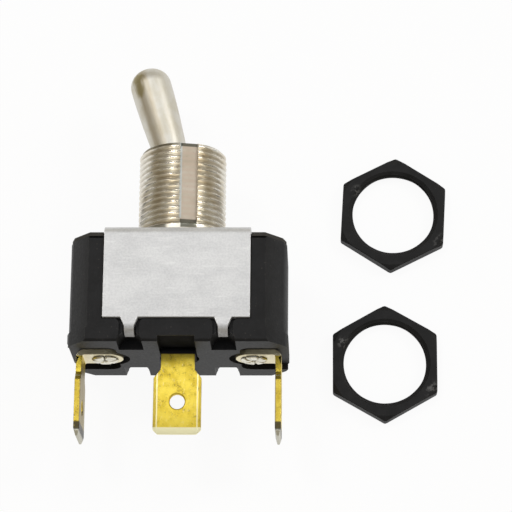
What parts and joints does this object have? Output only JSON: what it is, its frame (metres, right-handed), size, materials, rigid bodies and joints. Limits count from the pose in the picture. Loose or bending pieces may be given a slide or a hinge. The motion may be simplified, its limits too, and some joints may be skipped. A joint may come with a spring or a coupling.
{
  "type": "panel toggle switch",
  "caption": "Panel toggle switch with a bat lever, threaded bushing, folded bracket, moulded base and quick-connect tabs, beside its two panel nuts.",
  "frame": {"origin": "on the bushing's axis, at the top face of the bracket that seats against the panel", "axes": "+Y up the bushing, out of the panel towards the lever; +X along the base, the way the lever is thrown; +Z out of the bracket's front face, upwards as the switch lies on its back"},
  "size_m": [0.0511, 0.0529, 0.019],
  "materials": {
    "phenolic": "moulded, satin",
    "zinc_steel": "satin plated",
    "nickel_brass": "bright plated",
    "nickel_steel": "bright plated",
    "steel_pin": "ground",
    "spring_steel": "drawn",
    "nylon": "moulded",
    "fibre": "matte",
    "copper_strip": "rolled",
    "brass_strip": "rolled",
    "tab_brass": "rolled, bright",
    "silver": "satin",
    "tinned_rivet": "clinched, bright",
    "black_oxide": "black, satin"
  },
  "bodies": {
    "switch": {"housing_base": "phenolic", "frame_bracket": "zinc_steel", "bushing": "nickel_brass", "insulator_card": "fibre", "rocker_cradle": "brass_strip", "fixed_contact_left": "silver", "fixed_contact_right": "silver", "terminal_left": "tab_brass", "terminal_centre": "tab_brass", "terminal_right": "tab_brass", "rivet_left": "tinned_rivet", "rivet_centre": "tinned_rivet", "rivet_right": "tinned_rivet", "panel_nut_upper": "black_oxide", "panel_nut_lower": "black_oxide"},
    "lever": {"lever": "nickel_steel", "lever_pin": "steel_pin", "plunger_spring": "spring_steel"},
    "plunger": {"plunger": "nylon"},
    "rocker": {"contact_rocker": "copper_strip", "rocker_contact_left": "silver", "rocker_contact_right": "silver"}
  },
  "joints": [
    {"name": "lever_toggle", "type": "hinge", "parent": "switch", "child": "lever", "pos_m": [0, 0.0075, 0], "axis": [0, 0, -1], "range_deg": [0, 33]},
    {"name": "plunger_slide", "type": "slide", "parent": "lever", "child": "plunger", "axis": [-0.284, 0.9588, 0], "range_m": [0, 0.0006], "stiffness_N_per_m": 600, "springref_m": -0.0008, "deforming": ["plunger_spring"]},
    {"name": "rocker_tilt", "type": "hinge", "parent": "switch", "child": "rocker", "pos_m": [0, -0.0109, 0], "axis": [0, 0, -1], "range_deg": [-16.5, 0]}
  ],
  "couplings": [
    {"joint": "rocker_tilt", "follows": "lever_toggle", "ratio": -0.5}
  ]
}
